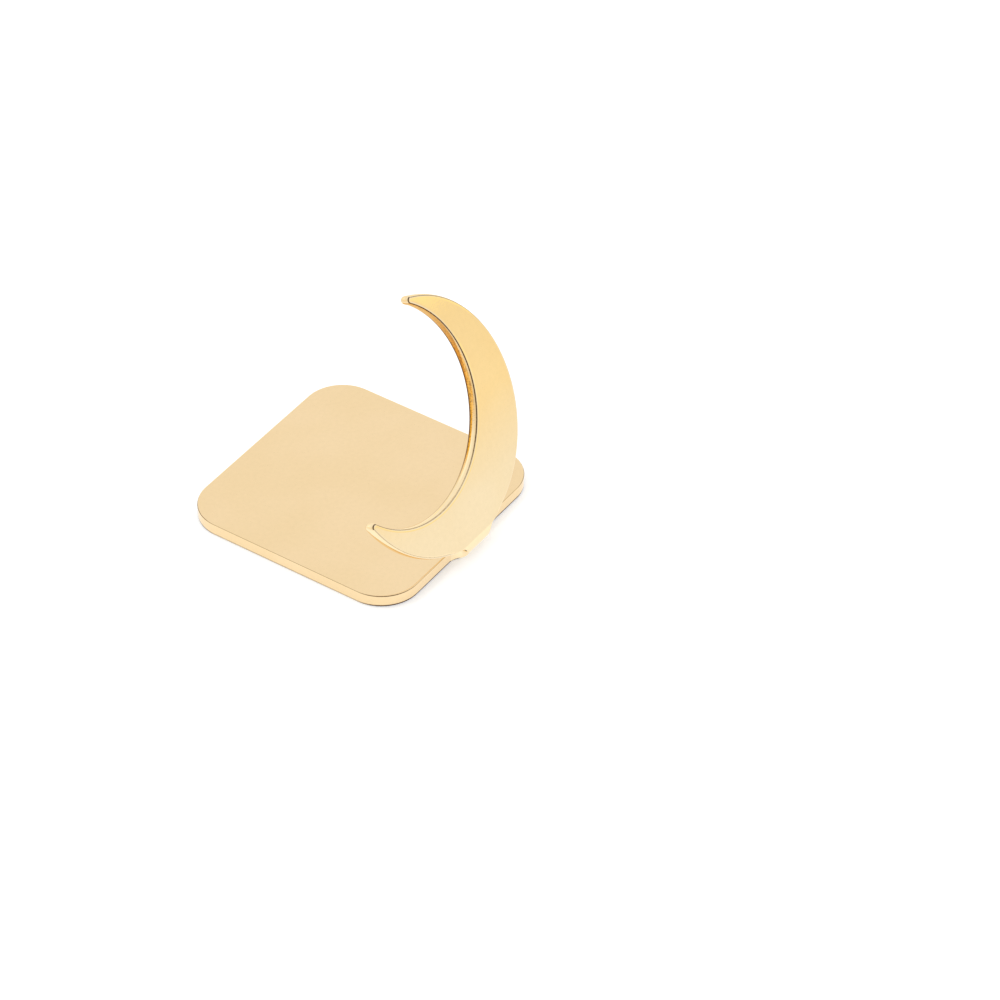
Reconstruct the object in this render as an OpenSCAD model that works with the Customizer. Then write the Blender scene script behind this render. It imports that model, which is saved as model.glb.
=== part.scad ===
// Chopstick rest: a square plate with a crescent moon standing on one of its edges.
// The crescent leans back over the plate, on a bent foot that is brazed into the plate.
// Millimetres. The plate lies on z = 0, centred on the origin.
// The crescent stands at the plate's +X edge, and its mouth faces the -Y side and up.

/* [Plate] */
// Side of the square plate
plate_side = 37.4; // [30:0.2:50]
// Corner radius of the plate, in plan
plate_corner_r = 6.1; // [3:0.1:9]
// Thickness of the plate
plate_t = 2; // [1.8:0.1:3]
// Radius of the plate's polished edges
edge_r = 0.2; // [0.1:0.05:0.5]

/* [Crescent] */
// Radius of the crescent's outer arc
moon_r = 18.75; // [15:0.05:24]
// Width of the crescent where it is widest
moon_w = 9.3; // [6:0.1:12]
// Distance between the two points that its arcs meet at, before the tips are rounded
mouth_w = 30; // [24:0.1:30.4]
// Angle of the mouth above the horizontal
mouth_turn = 45.5; // [30:0.5:60]
// Radius of the rounded horn tips
tip_r = 0.65; // [0.5:0.05:1]
// Angle that the crescent leans back from upright
lean = 26.5; // [10:0.5:35]
// Thickness of the crescent and its foot
moon_t = 1.7; // [1.2:0.1:1.7]

/* [Foot] */
// Width of the foot where it meets the crescent and the plate
foot_w = 8.6; // [8:0.2:12]
// Inner radius of the bend in the foot
bend_r = 0.3; // [0.1:0.1:1]
// Width of the tongue that seats in the plate's notch
tongue_w = 4.4; // [3:0.1:4.8]
// Length of the tongue
tongue_l = 5; // [3:0.5:8]
// Corner radius of the tongue
tongue_corner_r = 1; // [0.5:0.1:1.4]
// Width of the brazed gap round the tongue
braze_gap = 0.1; // [0.05:0.01:0.2]

/* [Hidden] */
$fn = 96;

// Overrun of the cuts, and how far the flat parts of the crescent run into its bend
over = 1;
lap = 0.05;

// The foot bends up from the plate's edge, round an axis along Y
edge_x = plate_side / 2;
bend_outer_r = bend_r + moon_t;
bend_angle = 90 + lean;
relief_r = bend_outer_r * sin(bend_angle / 2) + lap;

// Where the crescent's front face would meet z = 0, and how far up that face the bend ends
bend_end = bend_outer_r * (1 + sin(lean)) / cos(lean);
face_x = edge_x + bend_end;

// The outer arc's centre stands so high that the arc is foot_w wide where the bend ends
moon_rise = bend_end + sqrt(pow(moon_r, 2) - pow(foot_w / 2, 2));

// The hollow's arc passes through both points of the mouth and leaves moon_w at the back
back_r = moon_r - moon_w;
mouth_x = sqrt(pow(moon_r, 2) - pow(mouth_w / 2, 2));
hollow_shift = (pow(moon_r, 2) - pow(back_r, 2)) / (2 * (mouth_x + back_r));
hollow_r = hollow_shift + back_r;

// Each tip's circle touches the outer arc from inside and the hollow's arc from outside
tip_x = (pow(moon_r - tip_r, 2) - pow(hollow_r + tip_r, 2) + pow(hollow_shift, 2)) / (2 * hollow_shift);
tip_y = sqrt(pow(moon_r - tip_r, 2) - pow(tip_x, 2));

// Outline of the plate's rim with polished edges, from its middle to its edge at x = reach
module rim_profile(reach) {
    square([reach - edge_r, plate_t]);
    translate([0, edge_r]) square([reach, plate_t - 2 * edge_r]);
    for (z = [edge_r, plate_t - edge_r]) translate([reach - edge_r, z]) circle(edge_r);
}

// Round piece of the plate with polished edges
module soft_disc(r) {
    rotate_extrude() rim_profile(r);
}

// Straight piece of the plate with polished edges along its two long sides
module soft_bar(length, reach) {
    for (turn = [0, 180]) rotate([0, 0, turn])
        rotate([90, 0, 0]) translate([0, 0, -length / 2]) linear_extrude(length) rim_profile(reach);
}

// The square blank of the plate, before its notch
module plate_blank() {
    straight = plate_side - 2 * plate_corner_r;
    soft_bar(straight, edge_x);
    rotate([0, 0, 90]) soft_bar(straight, edge_x);
    for (x = [-1, 1], y = [-1, 1])
        translate([x * straight / 2, y * straight / 2, 0]) soft_disc(plate_corner_r);
}

// The tongue in plan, from past the plate's edge inwards, grown by a gap
module tongue_plan(gap, past) {
    half = tongue_w / 2 + gap;
    r = tongue_corner_r + gap;
    inner = edge_x - tongue_l - gap;
    translate([inner + r, -half]) square([tongue_l + gap - r + past, 2 * half]);
    translate([inner, -half + r]) square([2 * r, 2 * (half - r)]);
    for (side = [-1, 1]) translate([inner + r, side * (half - r)]) circle(r);
}

// Everything past the line between the points where a tip's circle meets the two arcs
module tip_cutter() {
    outer_touch = [tip_x, tip_y] * moon_r / (moon_r - tip_r);
    inner_way = [tip_x - hollow_shift, tip_y];
    inner_touch = [hollow_shift, 0] + inner_way * hollow_r / (hollow_r + tip_r);
    along = (outer_touch - inner_touch) / norm(outer_touch - inner_touch);
    out = [along[1], -along[0]];
    reach = moon_r - tip_x;
    polygon([
        outer_touch + along * tip_r,
        outer_touch + along * tip_r + out * reach,
        inner_touch - along * tip_r + out * reach,
        inner_touch - along * tip_r
    ]);
}

// The crescent in plan, centred on its outer arc, with its mouth towards +X before it is turned
module moon_plan() {
    rotate([0, 0, 180 - mouth_turn]) {
        difference() {
            circle(moon_r);
            translate([hollow_shift, 0]) circle(hollow_r);
            tip_cutter();
            mirror([0, 1]) tip_cutter();
        }
        for (side = [-1, 1]) translate([tip_x, side * tip_y]) circle(tip_r);
    }
}

// The crescent in its leaning place, cut off where the bend begins
module moon_standing() {
    foot_y = bend_end - lap - moon_rise;
    translate([face_x, 0, 0]) rotate([0, -lean, 0]) rotate([90, 0, 90]) translate([0, moon_rise, -moon_t])
        linear_extrude(moon_t) difference() {
            moon_plan();
            translate([-moon_r, foot_y - moon_r]) square([2 * moon_r, moon_r]);
        }
}

// The bend of the foot, relieved at both ends by a round cut
module foot_bend() {
    translate([edge_x, 0, bend_outer_r]) rotate([90, 90, 0]) difference() {
        rotate_extrude(angle = bend_angle) translate([bend_r, -foot_w / 2]) square([moon_t, foot_w]);
        for (side = [-1, 1]) translate([0, 0, side * foot_w / 2]) rotate([0, 90, bend_angle / 2])
            cylinder(h = bend_outer_r + over, r = relief_r);
    }
}

// Square plate that lies on the table, with a notch for the crescent's tongue
module base_plate() {
    color("gold") difference() {
        plate_blank();
        translate([0, 0, -over]) linear_extrude(plate_t + 2 * over) tongue_plan(braze_gap, over);
    }
}

// Crescent moon with its bent foot and the tongue that seats in the plate
module crescent() {
    color("goldenrod") {
        moon_standing();
        foot_bend();
        linear_extrude(moon_t) tongue_plan(0, lap);
    }
}

// Brazing metal that fills the notch round and over the tongue, flush with the plate's faces
module braze_seam() {
    color("darkgoldenrod") difference() {
        linear_extrude(plate_t) tongue_plan(braze_gap, 0);
        translate([0, 0, -over]) linear_extrude(moon_t + over) tongue_plan(0, over);
    }
}

base_plate();
crescent();
braze_seam();
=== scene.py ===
# Chopstick rest: a polished gold plate and a crescent moon that leans back from its edge.
import math

import bpy
import numpy as np
from mathutils import Matrix, Vector


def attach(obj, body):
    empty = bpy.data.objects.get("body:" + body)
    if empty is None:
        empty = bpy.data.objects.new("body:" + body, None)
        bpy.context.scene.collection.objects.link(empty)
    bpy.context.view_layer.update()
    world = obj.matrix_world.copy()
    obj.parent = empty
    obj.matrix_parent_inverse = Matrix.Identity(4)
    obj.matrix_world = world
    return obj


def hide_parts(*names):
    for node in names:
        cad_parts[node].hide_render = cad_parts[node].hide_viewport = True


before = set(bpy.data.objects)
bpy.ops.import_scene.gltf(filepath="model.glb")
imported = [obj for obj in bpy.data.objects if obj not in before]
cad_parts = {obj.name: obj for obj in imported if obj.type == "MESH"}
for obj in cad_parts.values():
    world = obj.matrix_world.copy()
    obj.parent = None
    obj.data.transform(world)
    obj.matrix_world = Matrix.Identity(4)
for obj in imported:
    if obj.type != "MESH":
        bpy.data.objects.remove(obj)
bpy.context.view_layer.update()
print("frame loaded:", sorted(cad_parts))

mm = 0.001

# Sizes that the pieces share, in millimetres, as in the part's source
sizes = {
    "plateSide": 37.4,
    "plateThickness": 2.0,
    "moonThickness": 1.7,
    "tongueWidth": 4.4,
    "tongueLength": 5.0,
    "tongueCorner": 1.0,
    "seamGap": 0.1,
}


def arc(centre, radius, start, end, count):
    # centre + radius * (cos, sin) of equally spaced angles from start to end, in degrees
    angle = np.radians(np.linspace(start, end, count))
    return np.array(centre) + radius * np.stack([np.cos(angle), np.sin(angle)], axis=1)


def hump(share, centre, width):
    # e to the power of minus the square of (share - centre) / width: 1 at the centre, less beside it
    return np.exp(-((share - centre) / width) ** 2)


def inwardNormals(path, closed):
    # the mean direction of the two steps at each point, turned a quarter to the left
    if closed:
        ahead, behind = np.roll(path, -1, axis=0) - path, path - np.roll(path, 1, axis=0)
    else:
        step = np.diff(path, axis=0)
        ahead, behind = np.vstack([step, step[-1:]]), np.vstack([step[:1], step])
    ahead = ahead / np.linalg.norm(ahead, axis=1, keepdims=True)
    behind = behind / np.linalg.norm(behind, axis=1, keepdims=True)
    along = ahead + behind
    along = along / np.linalg.norm(along, axis=1, keepdims=True)
    return np.column_stack([-along[:, 1], along[:, 0]])


# Distance of the wall's rings from its ends, in millimetres, and at most as a share of the wall
wallRings = {"margin": 0.09, "mostShare": 0.2}


def polishedRim(path, reach, drop, shelf, thickness, steps, closed):
    # Carries a rim's section along the path: a flat shelf, a quarter ellipse that goes in by reach
    # and down by drop, the wall, a quarter ellipse and a shelf again. The wall has a ring near its
    # front end and two near its rear end. Gives (points, rings, 3): place and depth.
    turn = np.linspace(0, math.pi / 2, steps)
    inset = np.concatenate([[1.0], 1 - np.sin(turn), [0.0] * 3, 1 - np.cos(turn), [1.0]])
    sink = np.concatenate([[0.0], 1 - np.cos(turn), [1.0] * 3, 1 - np.sin(turn), [0.0]])
    rings = len(inset)
    flat, end = np.zeros(rings), np.zeros(rings)
    flat[[0, -1]] = 1
    end[steps + 1:steps + 4] = 1, 2, 1
    rear = np.arange(rings) > steps + 1
    margin = np.minimum(wallRings["margin"], wallRings["mostShare"] * (thickness - 2 * drop))
    inwards = reach[:, None] * inset + shelf[:, None] * flat
    fromFace = drop[:, None] * sink + margin[:, None] * end
    depth = np.where(rear, thickness - fromFace, fromFace)
    place = path[:, None, :] + inwards[:, :, None] * inwardNormals(path, closed)[:, None, :]
    return np.concatenate([place, depth[:, :, None]], axis=2)


def meshPiece(name, points, faces, smooth=True, **tones):
    # tones are values for the first points, kept on the mesh for its material: the painted edge shade, and
    # the cut wall's tone with its painted reflection
    mesh = bpy.data.meshes.new(name)
    mesh.from_pydata((np.asarray(points) * mm).tolist(), [], faces)
    mesh.polygons.foreach_set("use_smooth", [smooth] * len(mesh.polygons))
    for toneName in ("edgeTone", "cutTone"):
        given = tones.get(toneName, np.zeros(0))
        tone = np.concatenate([given, np.zeros(len(points) - len(given))])
        mesh.attributes.new(toneName, "FLOAT", "POINT").data.foreach_set("value", tone)
    mesh.update()
    piece = bpy.data.objects.new(name, mesh)
    bpy.context.scene.collection.objects.link(piece)
    return piece


def bands(rows, count, closed):
    # quads between neighbouring rows of count points each, numbered row after row
    across = np.arange(count if closed else count - 1)
    nextOne = (across + 1) % count
    row = np.arange(rows - 1)[:, None] * count
    nextRow = row + count
    quads = np.stack([row + across, row + nextOne, nextRow + nextOne, nextRow + across], axis=-1)
    return quads.reshape(-1, 4)


def tonguePath(gap, count=16):
    # half a slot from the plate's edge inwards and back, with rounded inner corners, grown by gap
    half = sizes["tongueWidth"] / 2 + gap
    radius = sizes["tongueCorner"] + gap
    edge = sizes["plateSide"] / 2
    inner = edge - sizes["tongueLength"] - gap + radius
    return np.concatenate([
        [[edge, half]],
        arc((inner, half - radius), radius, 90, 180, count),
        arc((inner, radius - half), radius, 180, 270, count),
        [[edge, -half]],
    ])


# The rim's lines are painted: a painted reflection along the top edge, painted shadow and reflection along
# the bottom one.
# Line strengths are on the straight sides and round the corners. A line's place and width are
# shares of the way round the edge.
plate = {
    "cornerRadius": 6.1,
    "edgeRadius": 0.2,
    "shelf": 0.3,
    "edgeSteps": 8,
    "cornerPoints": 60,
    "besideNotch": (3.2, 2.6, 2.45),
    "topPaintedReflection": (0.6, 1.0),
    "topLineAt": 0.62,
    "topLineWidth": 0.24,
    "bottomPaintedShade": (0.62, 1.0),
    "bottomStart": 0.9,
    "bottomRise": 0.5,
}


def buildPlate():
    # a rounded square with the tongue's notch in its +X side, with the rim's section along it
    half = sizes["plateSide"] / 2
    inner = half - plate["cornerRadius"]
    corners = [((inner, inner), 0), ((-inner, inner), 90), ((-inner, -inner), 180), ((inner, -inner), 270)]
    square = np.concatenate([
        arc(centre, plate["cornerRadius"], start, start + 90, plate["cornerPoints"])
        for centre, start in corners
    ])
    notch = tonguePath(sizes["seamGap"])[::-1]
    beside = np.array([[half, across] for across in plate["besideNotch"]])
    path = np.concatenate([square, beside * [1, -1], notch, beside[::-1]])

    # the notch and the points next to it keep sharp edges
    rounded = np.ones(len(path))
    rounded[len(square) + len(beside) - 1:1 - len(beside)] = 0
    edge, shelf = rounded * plate["edgeRadius"], rounded * plate["shelf"]
    steps = plate["edgeSteps"]
    rim = polishedRim(path, edge, edge, shelf, sizes["plateThickness"], steps, True)
    count, rings = rim.shape[:2]
    rim[:, :, 2] = sizes["plateThickness"] - rim[:, :, 2]

    # Painted dark lines along the rim: a painted reflection in a hump over the top edge, and painted shadow
    # and reflection that grows round the bottom edge.
    # Both are stronger round the corners, and the bottom one also on the crescent's side.
    share = np.linspace(0, 1, steps)
    top = hump(share, plate["topLineAt"], plate["topLineWidth"])
    bottom = np.clip(plate["bottomStart"] + share / plate["bottomRise"], 0, 1)
    bottom = np.concatenate([[plate["bottomStart"]], bottom])
    turning = np.zeros(count)
    turning[:len(square)] = np.tile(np.sin(np.linspace(0, math.pi, plate["cornerPoints"])), len(corners))
    crescentSide = np.interp(path[:, 0], (inner, half), (0, 1))
    topPaintedReflection = np.interp(turning, (0, 1), plate["topPaintedReflection"])
    bottomPaintedShade = np.interp(np.maximum(turning, crescentSide), (0, 1), plate["bottomPaintedShade"])
    tone = np.zeros((rings, count))
    tone[1:1 + steps] = top[:, None] * topPaintedReflection * rounded
    tone[-2 - steps:-1] = bottom[:, None] * bottomPaintedShade * rounded
    points = rim.transpose(1, 0, 2).reshape(-1, 3)
    faces = bands(rings, count, True)[:, ::-1].tolist()
    faces += [list(range(count)), list(range((rings - 1) * count, rings * count))[::-1]]
    return meshPiece("plate", points, faces, edgeTone=tone.ravel())


# The crescent's lines are painted reflections, and the foot's bottom line is painted contact shade.
# Edge sizes are at the foot and on the arcs, and line strengths at the lower and the upper height.
# A line's place and width are shares of the way round the edge.
moon = {
    "radius": 18.75,
    "width": 9.3,
    "mouth": 30.0,
    "mouthTurn": 45.5,
    "tipRadius": 0.65,
    "lean": 26.5,
    "footWidth": 8.6,
    "bendRadius": 0.3,
    "tongueLap": 0.05,
    "edgeReach": (0.12, 0.42),
    "edgeDrop": (0.12, 0.8),
    "shelf": (0.1, 0.2),
    "edgeGrowth": 12,
    "edgeSteps": 13,
    "arcStep": 0.6,
    "arcFewest": 8,
    "tipPoints": 32,
    "footRows": 40,
    "footColumns": 26,
    "arcMargin": 0.02,
    "hollowPaintedReflection": (0.7, 1.0),
    "hollowHeights": (12.0, 17.0),
    "hollowLineAt": 0.36,
    "outerPaintedReflection": (0.58, 0.78),
    "outerHeights": (12.0, 34.0),
    "outerLineAt": 0.24,
    "frontLineWidth": 0.14,
    "rearPaintedReflection": 0.95,
    "rearLineAt": 0.42,
    "rearLineWidth": 0.28,
    "tipStart": 1.6,
    "tipLine": 0.25,
    "footLine": 0.7,
    "footContactShade": (0.8, 0.0),
    "footBottomUp": (0.55, 1.05),
    "cutFrontFade": (0.5, 0.75),
    "cutRearFade": (0.6, 0.9),
    "cutHeights": (10.5, 15.0, 28.0, 36.0),
    "cutDepths": (0.0, 1.0, 0.85, 0.15),
    "cutAcross": (0.0, 5.0),
    "cutFull": (16.5, 21.5),
    "cutFront": 0.95,
}


def moonOutline():
    # The outer arc, the hollow's arc, and a small circle that touches both at each tip.
    # The hollow's arc passes through both points of the mouth and leaves the width at the back.
    radius, tip = moon["radius"], moon["tipRadius"]
    back = radius - moon["width"]
    mouthX = math.sqrt(radius ** 2 - (moon["mouth"] / 2) ** 2)
    shift = (radius ** 2 - back ** 2) / (2 * (mouthX + back))
    hollow = shift + back
    tipX = ((radius - tip) ** 2 - (hollow + tip) ** 2 + shift ** 2) / (2 * shift)
    tipY = math.sqrt((radius - tip) ** 2 - tipX ** 2)
    turn = 180 - moon["mouthTurn"]
    atOuter = math.degrees(math.atan2(tipY, tipX))
    atHollow = math.degrees(math.atan2(tipY, tipX - shift))
    tipInner = math.degrees(math.atan2(tipY, shift - tipX))
    footAngle = math.degrees(math.asin(moon["footWidth"] / 2 / radius))
    start, end = -90 + footAngle - turn, 270 - footAngle - turn

    def steps(first, last):
        return max(moon["arcFewest"], int(abs(last - first) / moon["arcStep"]))

    flat = np.concatenate([
        arc((0, 0), radius, start, -atOuter, steps(start, -atOuter)),
        arc((tipX, -tipY), tip, -atOuter, tipInner, moon["tipPoints"])[1:-1],
        arc((shift, 0), hollow, -atHollow, atHollow - 360, steps(-atHollow, atHollow - 360)),
        arc((tipX, tipY), tip, -tipInner, atOuter, moon["tipPoints"])[1:-1],
        arc((0, 0), radius, atOuter, end, steps(atOuter, end)),
    ])
    c, s = math.cos(math.radians(turn)), math.sin(math.radians(turn))
    return flat @ np.array([[c, s], [-s, c]])


def buildCrescent():
    # The sheet is drawn flat, in (across, up), and then bent: up runs along the outer face from
    # the plate's edge, round the bend and up the leaning face.
    thick, edge = sizes["moonThickness"], sizes["plateSide"] / 2
    lean = math.radians(moon["lean"])
    outer = moon["bendRadius"] + thick
    bendAngle = math.pi / 2 + lean
    bendLength = outer * bendAngle
    centreUp = bendLength + math.sqrt(moon["radius"] ** 2 - (moon["footWidth"] / 2) ** 2)

    def bent(across, up, depth):
        # an arc of radius (outer - depth) round the bend's axis, and straight lines before and after it
        angle = np.clip(up, 0, bendLength) / outer
        after, before = np.maximum(up - bendLength, 0), np.minimum(up, 0)
        x = edge + (outer - depth) * np.sin(angle) - after * math.sin(lean) + before
        z = outer - (outer - depth) * np.cos(angle) + after * math.cos(lean)
        return np.stack([x, across, z], axis=-1)

    # half an ellipse relieves the foot on either side, between the plate and the outer arc
    rows, columns = moon["footRows"], moon["footColumns"]
    turn = np.linspace(0, math.pi, rows)
    relief = outer * math.sin(bendAngle / 2)
    side = np.column_stack([
        moon["footWidth"] / 2 - relief * np.sin(turn), bendLength / 2 * (1 - np.cos(turn)),
    ])
    path = np.concatenate([side[:-1], moonOutline() + [0, centreUp], side[-2::-1] * [-1, 1]])
    count = len(path)
    fromFoot = np.minimum(np.arange(count), np.arange(count)[::-1])

    # the edges grow from the foot's to the full ones: 3 t squared - 2 t cubed of the points passed
    full = np.clip((fromFoot - rows) / moon["edgeGrowth"], 0, 1)
    full = full * full * (3 - 2 * full)
    reach, drop, shelf = (np.interp(full, (0, 1), moon[key]) for key in ("edgeReach", "edgeDrop", "shelf"))
    steps = moon["edgeSteps"]
    rim = polishedRim(path, reach, drop, shelf, thick, steps, False)
    rings = rim.shape[1]

    # Painted dark lines, painted reflections: a hump over the front edge and one over the rear edge, strong
    # round the hollow, fainter round the outer arc and at the foot. The rear one fades at the horn tips.
    share = np.linspace(0, 1, steps)
    fromCentre = np.hypot(path[:, 0], path[:, 1] - centreUp)
    inHollow = (fromCentre < moon["radius"] - moon["arcMargin"]) & (fromFoot > rows + 1)
    hollowPaintedReflection = np.interp(path[:, 1], moon["hollowHeights"], moon["hollowPaintedReflection"])
    outerPaintedReflection = np.interp(path[:, 1], moon["outerHeights"], moon["outerPaintedReflection"])
    strength = np.where(inHollow, hollowPaintedReflection, outerPaintedReflection) * np.maximum(full, moon["footLine"])
    lineAt = np.where(inHollow, moon["hollowLineAt"], moon["outerLineAt"])[:, None]
    rearPaintedReflection = moon["rearPaintedReflection"] * hump(share, moon["rearLineAt"], moon["rearLineWidth"])
    nearTip = np.clip(moon["radius"] - moon["tipStart"] - fromCentre, moon["tipLine"], 1)
    tone = np.zeros((count, rings))
    tone[:, 1:1 + steps] = strength[:, None] * hump(share, lineAt, moon["frontLineWidth"])
    tone[:, -1 - steps:-1] = strength[:, None] * rearPaintedReflection * nearTip[:, None]

    # and painted contact shade, a dark zone where the foot's bend leaves the table
    paintedFootShade = np.interp(path[:, 1], moon["footBottomUp"], moon["footContactShade"]) * (fromFoot < rows)
    tone[:, :1 + steps] = np.maximum(tone[:, :1 + steps], paintedFootShade[:, None])
    tones = [tone.ravel()]

    # the hollow's cut wall is a deeper colour towards the upper horn, first along its rear half: partly its
    # own colour, partly a painted reflection
    fadeIn = np.interp(share, moon["cutFrontFade"], (0, 1))
    fadeOut = np.interp(share, moon["cutRearFade"], (1, 0))
    wall = np.concatenate([[0], fadeIn, [1] * (rings - 2 - 2 * steps), fadeOut, [0]])
    deeper = np.interp(path[:, 1], moon["cutHeights"], moon["cutDepths"])
    deeper *= np.interp(path[:, 0], moon["cutAcross"], (0, 1))
    cut = np.where(inHollow, deeper, 0)[:, None] * wall
    cut[:, :rings // 2] *= np.interp(path[:, 1], moon["cutFull"], (0, moon["cutFront"]))[:, None]
    points = [bent(rim[..., 0], rim[..., 1], rim[..., 2]).reshape(-1, 3)]
    faces = bands(count, rings, False).tolist()

    # the foot's two faces are ruled between the first and the last points of the rim
    between = np.linspace(1, -1, columns)[None, 1:-1]
    edges = []
    for ring, depth in ((0, 0), (rings - 1, thick)):
        isFront = ring == 0
        right = rim[:rows, ring]
        inner = bent(between * right[:, :1], right[:, 1:2] + 0 * between, depth).reshape(-1, 3)
        firstInner = sum(len(p) for p in points)
        points.append(inner)
        tones.append((paintedFootShade[:rows, None] * isFront + 0 * between).ravel())
        grid = np.column_stack([
            np.arange(rows) * rings + ring,
            firstInner + np.arange(rows * (columns - 2)).reshape(rows, -1),
            (count - 1 - np.arange(rows)) * rings + ring,
        ])
        quads = np.stack([grid[:-1, :-1], grid[:-1, 1:], grid[1:, 1:], grid[1:, :-1]], axis=-1).reshape(-1, 4)
        face = np.concatenate([np.arange(rows - 1, count - rows + 1) * rings + ring, grid[-1, -2:0:-1]])
        faces += (quads[:, ::-1] if isFront else quads).tolist()
        faces.append((face if isFront else face[::-1]).tolist())
        edges.append(grid[0])
    lastRim = (count - 1) * rings
    faces.append(np.concatenate([
        edges[0], lastRim + np.arange(1, rings - 1), edges[1][::-1], np.arange(1, rings - 1)[::-1],
    ]).tolist())

    # Tongue: its outline raised through the sheet, reaching a little into the bend
    tongue = tonguePath(0)
    tongue[[0, -1], 0] += moon["tongueLap"]
    size, tongueAt = len(tongue), sum(len(p) for p in points)
    points += [np.column_stack([tongue, np.full(size, z)]) for z in (0, thick)]
    faces += (tongueAt + bands(2, size, True)).tolist()
    faces += [(tongueAt + np.arange(size))[::-1].tolist(), (tongueAt + size + np.arange(size)).tolist()]
    points, tones = np.concatenate(points), np.concatenate(tones)
    return meshPiece("crescentMoon", points, faces, edgeTone=tones, cutTone=cut.ravel())


def buildSeam():
    # the metal round and over the tongue: the notch's outline raised through the plate, less the
    # tongue's outline raised to the tongue's thickness
    inside, outside = tonguePath(0), tonguePath(sizes["seamGap"])
    count = len(inside)
    levels = [(outside, sizes["plateThickness"]), (outside, 0), (inside, 0), (inside, sizes["moonThickness"])]
    points = np.concatenate([np.column_stack([path, np.full(count, z)]) for path, z in levels])
    faces = bands(len(levels), count, False)[:, ::-1].tolist()
    faces += [list(range(count)), list(range(len(points) - count, len(points)))[::-1]]
    first = np.arange(len(levels)) * count
    last = first + count - 1
    faces.append(np.concatenate([last, first[::-1]]).tolist())
    return meshPiece("seamStrip", points, faces, smooth=False)


# Polished gold plate over brass: each piece's tone, and what its surface carries. The crescent's paler tone
# is a painted highlight for the brighter light it reflects.
finishes = {
    "gold_plate": {"bright": (0.915, 0.70, 0.42), "deep": (0.895, 0.68, 0.395), "grain": 0.35},
    "gold_crescent": {"bright": (0.965, 0.785, 0.50), "deep": (0.95, 0.76, 0.465), "grain": 0.3},
    "gold_seam": {"bright": (0.92, 0.71, 0.425), "deep": (0.89, 0.67, 0.385), "grain": 0.5},
}

# What all three share. A noise is its scale and detail. A range is the part of a value that is
# spread from 0 to 1, or over the mottle, the roughness or the line breaks.
plating = {
    "cloudNoise": (90, 3),
    "mottleNoise": (1500, 4),
    "polishNoise": (700, 5),
    "peelNoise": (3200, 2),
    "lineNoise": (5200, 2),
    "cutNoise": (4200, 3),
    "noiseRange": (0.3, 0.7),
    "mottle": (0.986, 1.014),
    "roughness": (0.02, 0.05),
    "peelHeight": 0.000003,
    # the colour of the painted dark lines: painted reflections and contact shade
    "paintedLineColour": (0.06, 0.014, 0.0),
    "lineBreaks": (-0.14, 0.14),
    "lineRange": (0.02, 0.75),
    # the cut wall's two tones: partly its own colour, partly a painted reflection
    "cutColour": (0.88, 0.43, 0.04),
    "cutShade": (0.40, 0.17, 0.012),
    "cutRange": (0.47, 0.64),
}


def addNoise(nodes, links, place, scaleAndDetail):
    noise = nodes.new("ShaderNodeTexNoise")
    for socket, amount in zip(("Scale", "Detail"), scaleAndDetail):
        noise.inputs[socket].default_value = amount
    links.new(place.outputs["Object"], noise.inputs["Vector"])
    return noise.outputs["Fac"]


def addRange(nodes, links, value, fromRange, toRange=(0, 1), smooth=False):
    spread = nodes.new("ShaderNodeMapRange")
    if smooth:
        spread.interpolation_type = "SMOOTHSTEP"
    for socket, amount in zip(("From Min", "From Max", "To Min", "To Max"), (*fromRange, *toRange)):
        spread.inputs[socket].default_value = amount
    links.new(value, spread.inputs["Value"])
    return spread.outputs["Result"]


def give(links, value, socket):
    # value is another socket, a plain number or a colour
    if isinstance(value, bpy.types.NodeSocket):
        links.new(value, socket)
    else:
        socket.default_value = (*value, 1) if isinstance(value, tuple) else value


def addMath(nodes, links, kind, first, second):
    node = nodes.new("ShaderNodeMath")
    node.operation = kind
    for socket, value in zip(node.inputs, (first, second)):
        give(links, value, socket)
    return node.outputs[0]


def addMix(nodes, links, factor, first, second):
    mix = nodes.new("ShaderNodeMix")
    mix.data_type = "RGBA"
    links.new(factor, mix.inputs["Factor"])
    for name, value in (("A", first), ("B", second)):
        give(links, value, [s for s in mix.inputs if s.name == name and s.type == "RGBA"][0])
    return [s for s in mix.outputs if s.type == "RGBA"][0]


def addScaled(nodes, links, colour, amount):
    scaled = nodes.new("ShaderNodeVectorMath")
    scaled.operation = "SCALE"
    links.new(colour, scaled.inputs[0])
    give(links, amount, scaled.inputs["Scale"])
    return scaled.outputs[0]


def addAttribute(nodes, name):
    # a value that the mesh carries at its points
    attribute = nodes.new("ShaderNodeAttribute")
    attribute.attribute_name = name
    return attribute.outputs["Fac"]


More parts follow.
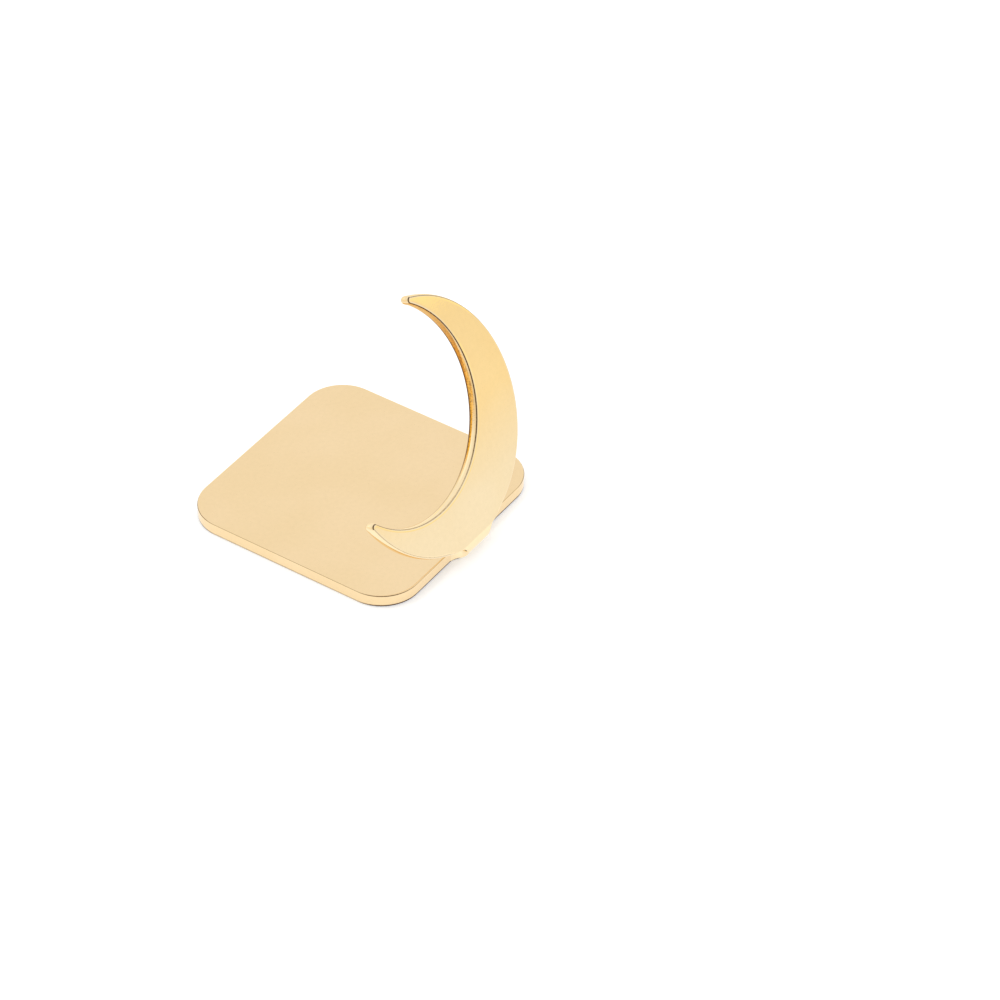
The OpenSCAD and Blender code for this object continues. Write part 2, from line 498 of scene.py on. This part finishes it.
def goldMaterial(name, bright, deep, grain):
    material = bpy.data.materials.new(name)
    material.use_nodes = True
    nodes, links = material.node_tree.nodes, material.node_tree.links
    shader = nodes["Principled BSDF"]
    shader.inputs["Metallic"].default_value = 1.0
    place = nodes.new("ShaderNodeTexCoord")

    # the plating's slow change of tone
    cloud = addNoise(nodes, links, place, plating["cloudNoise"])
    cloud = addRange(nodes, links, cloud, plating["noiseRange"], smooth=True)
    tone = addMix(nodes, links, cloud, deep, bright)

    # its fine mottling
    mottle = nodes.new("ShaderNodeHueSaturation")
    grains = addNoise(nodes, links, place, plating["mottleNoise"])
    grains = addRange(nodes, links, grains, plating["noiseRange"], plating["mottle"])
    links.new(grains, mottle.inputs["Value"])
    links.new(tone, mottle.inputs["Color"])
    tone = mottle.outputs["Color"]

    # the cut wall, in two deeper tones: partly its own colour, partly a painted reflection
    specks = addNoise(nodes, links, place, plating["cutNoise"])
    specks = addRange(nodes, links, specks, plating["cutRange"])
    wall = addMix(nodes, links, specks, plating["cutColour"], plating["cutShade"])
    tone = addMix(nodes, links, addAttribute(nodes, "cutTone"), tone, wall)

    # thin painted dark lines along the edges, painted reflections in the roundings and painted contact shade,
    # broken up a little by the polishing
    rim = addAttribute(nodes, "edgeTone")
    breaks = addNoise(nodes, links, place, plating["lineNoise"])
    breaks = addRange(nodes, links, breaks, plating["noiseRange"], plating["lineBreaks"])
    line = addMath(nodes, links, "MULTIPLY", addMath(nodes, links, "ADD", rim, breaks), rim)
    shade = addRange(nodes, links, line, plating["lineRange"])
    links.new(addMix(nodes, links, shade, tone, plating["paintedLineColour"]), shader.inputs["Base Color"])

    # how well it is polished
    gloss = addNoise(nodes, links, place, plating["polishNoise"])
    gloss = addRange(nodes, links, gloss, plating["noiseRange"], plating["roughness"])
    links.new(gloss, shader.inputs["Roughness"])

    # the plating's fine orange peel
    bump = nodes.new("ShaderNodeBump")
    bump.inputs["Strength"].default_value = grain
    bump.inputs["Distance"].default_value = plating["peelHeight"]
    links.new(addNoise(nodes, links, place, plating["peelNoise"]), bump.inputs["Height"])
    links.new(bump.outputs["Normal"], shader.inputs["Normal"])
    return material


materials = {name: goldMaterial(name, **values) for name, values in finishes.items()}

builders = [
    (buildPlate, "base_plate", "gold_plate"),
    (buildCrescent, "crescent", "gold_crescent"),
    (buildSeam, "braze_seam", "gold_seam"),
]
for build, node, slotName in builders:
    piece = build()
    piece.data.materials.append(materials[slotName])
    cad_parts[node].data.materials.clear()
    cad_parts[node].data.materials.append(materials[slotName])
    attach(piece, "root")
    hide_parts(node)
    print("built:", piece.name, "for", node)


# Table and tent: distances in metres, and spreads as the cosines where a patch starts and is full
studio = {
    "tableSize": 6.0,
    "tableHeight": -0.02 * mm,
    "white": (1.0, 1.0, 1.0),
    "paper": (0.66, 0.66, 0.66),
    "glow": (0.42, 0.42, 0.42),
    "reflectedPaper": 0.20,
    "reflectedGlow": 0.75,
    "domeStrength": 0.95,
    "tableWarmth": (1.05, 0.94, 0.69),
    "warmDistance": (0.18, 0.55),
    "nearDistance": (0.032, 0.055),
    "nearBoost": (1.15, 1.0),
    "warmth": (1.14, 1.01, 0.62),
    "warmHeight": (0.0, 0.22),
    "boxSide": (-0.91, -0.17, 0.33),
    "boxSpread": (0.92, 0.965),
    "boxColour": (1.15, 1.15, 1.13),
    "darkSide": (0.43, -0.75, 0.50),
    "darkSpread": (0.45, 0.95),
    "darkColour": (0.85, 0.80, 0.70),
}


def rayIsSeen(nodes, links):
    # 1 for rays from the camera and for reflected or refracted ones, else 0, and the path's node
    path = nodes.new("ShaderNodeLightPath")
    seen = addMath(nodes, links, "MAXIMUM", path.outputs["Is Camera Ray"], path.outputs["Is Glossy Ray"])
    return addMath(nodes, links, "MAXIMUM", seen, path.outputs["Is Transmission Ray"]), path


def buildTable():
    half, height = studio["tableSize"] / 2 / mm, studio["tableHeight"] / mm
    corners = [(x * half, y * half, height) for x, y in ((-1, -1), (1, -1), (1, 1), (-1, 1))]
    table = meshPiece("table", corners, [[0, 1, 2, 3]], smooth=False)
    material = bpy.data.materials.new("tableWhite")
    material.use_nodes = True
    nodes, links = material.node_tree.nodes, material.node_tree.links
    nodes.clear()
    seen, path = rayIsSeen(nodes, links)

    # white where it is looked at; in reflections it is bright near the rest and warmer far from it
    place = nodes.new("ShaderNodeTexCoord")
    length = nodes.new("ShaderNodeVectorMath")
    length.operation = "LENGTH"
    links.new(place.outputs["Object"], length.inputs[0])
    distance = length.outputs["Value"]
    warm = addRange(nodes, links, distance, studio["warmDistance"])
    tint = addMix(nodes, links, warm, studio["white"], studio["tableWarmth"])
    near = addRange(nodes, links, distance, studio["nearDistance"], studio["nearBoost"])
    tint = addScaled(nodes, links, tint, near)

    matt = nodes.new("ShaderNodeBsdfDiffuse")
    glow = nodes.new("ShaderNodeEmission")
    for node, shown, reflected in ((matt, "paper", "reflectedPaper"), (glow, "glow", "reflectedGlow")):
        mirrored = addScaled(nodes, links, tint, studio[reflected])
        colour = addMix(nodes, links, path.outputs["Is Glossy Ray"], studio[shown], mirrored)
        links.new(colour, node.inputs["Color"])
    links.new(seen, glow.inputs["Strength"])
    both = nodes.new("ShaderNodeAddShader")
    links.new(matt.outputs[0], both.inputs[0])
    links.new(glow.outputs[0], both.inputs[1])
    out = nodes.new("ShaderNodeOutputMaterial")
    links.new(both.outputs[0], out.inputs["Surface"])
    table.data.materials.append(material)


def addFacing(nodes, links, place, side, spread):
    # 0 to 1 over the spread of the cosine between the direction and the side
    cosine = nodes.new("ShaderNodeVectorMath")
    cosine.operation = "DOT_PRODUCT"
    links.new(place.outputs["Generated"], cosine.inputs[0])
    cosine.inputs[1].default_value = Vector(side).normalized()
    return addRange(nodes, links, cosine.outputs["Value"], spread, smooth=True)


def buildDome():
    # A white tent. In reflections it is warmer near the horizon, darker on its open side, and
    # bright where its softbox is.
    world = bpy.data.worlds.new("studioDome")
    bpy.context.scene.world = world
    world.use_nodes = True
    nodes, links = world.node_tree.nodes, world.node_tree.links
    nodes.clear()
    place = nodes.new("ShaderNodeTexCoord")
    split = nodes.new("ShaderNodeSeparateXYZ")
    links.new(place.outputs["Generated"], split.inputs[0])
    warm = addRange(nodes, links, split.outputs["Z"], studio["warmHeight"], (1, 0), smooth=True)
    cloth = addMix(nodes, links, warm, studio["white"], studio["warmth"])
    for patch in ("dark", "box"):
        facing = addFacing(nodes, links, place, studio[patch + "Side"], studio[patch + "Spread"])
        cloth = addMix(nodes, links, facing, cloth, studio[patch + "Colour"])

    seen, path = rayIsSeen(nodes, links)
    shown = nodes.new("ShaderNodeBackground")
    colour = addMix(nodes, links, path.outputs["Is Camera Ray"], cloth, studio["white"])
    links.new(colour, shown.inputs["Color"])
    lit = nodes.new("ShaderNodeBackground")
    lit.inputs["Color"].default_value = (*studio["white"], 1)
    lit.inputs["Strength"].default_value = studio["domeStrength"]
    choose = nodes.new("ShaderNodeMixShader")
    links.new(seen, choose.inputs["Fac"])
    links.new(lit.outputs[0], choose.inputs[1])
    links.new(shown.outputs[0], choose.inputs[2])
    out = nodes.new("ShaderNodeOutputWorld")
    links.new(choose.outputs[0], out.inputs["Surface"])


# Places and sizes in metres, powers in watts
lamps = {
    "softboxLeft": {"place": (-0.55, -0.25, 0.75), "size": 0.6, "power": 2.6},
    "softboxBack": {"place": (-0.10, 0.65, 0.60), "size": 0.7, "power": 1.6},
}


def buildLamps():
    for name, lamp in lamps.items():
        data = bpy.data.lights.new(name, "AREA")
        data.shape = "DISK"
        data.size = lamp["size"]
        data.energy = lamp["power"]
        softbox = bpy.data.objects.new(name, data)
        softbox.location = lamp["place"]
        softbox.rotation_euler = (-Vector(lamp["place"])).to_track_quat("-Z", "Y").to_euler()
        softbox.visible_glossy = False
        bpy.context.scene.collection.objects.link(softbox)


# Angles in degrees, lengths in millimetres, clip in metres
view = {
    "azimuth": -55.966,
    "elevation": 40.709,
    "roll": 0.291,
    "aimRight": 20.0725,
    "aimUp": -0.3474,
    "distance": 609.135,
    "lens": 151.089,
    "sensor": 36.0,
    "clip": (0.01, 20),
}


def buildCamera():
    az, el, roll = (math.radians(view[k]) for k in ("azimuth", "elevation", "roll"))
    towards = Vector((math.cos(el) * math.cos(az), math.cos(el) * math.sin(az), math.sin(el)))
    right = Vector((-math.sin(az), math.cos(az), 0))
    up = towards.cross(right)
    right, up = right * math.cos(roll) + up * math.sin(roll), up * math.cos(roll) - right * math.sin(roll)
    aim = right * view["aimRight"] + up * view["aimUp"]
    data = bpy.data.cameras.new("photoCamera")
    data.lens = view["lens"]
    data.sensor_width = view["sensor"]
    data.clip_start, data.clip_end = view["clip"]
    camera = bpy.data.objects.new("photoCamera", data)
    turn = Matrix((right, up, towards)).transposed()
    camera.matrix_world = Matrix.Translation((aim + towards * view["distance"]) * mm) @ turn.to_4x4()
    bpy.context.scene.collection.objects.link(camera)
    bpy.context.scene.camera = camera


buildTable()
buildDome()
buildLamps()
buildCamera()
bpy.context.scene.view_settings.view_transform = "Standard"
print("studio ready")
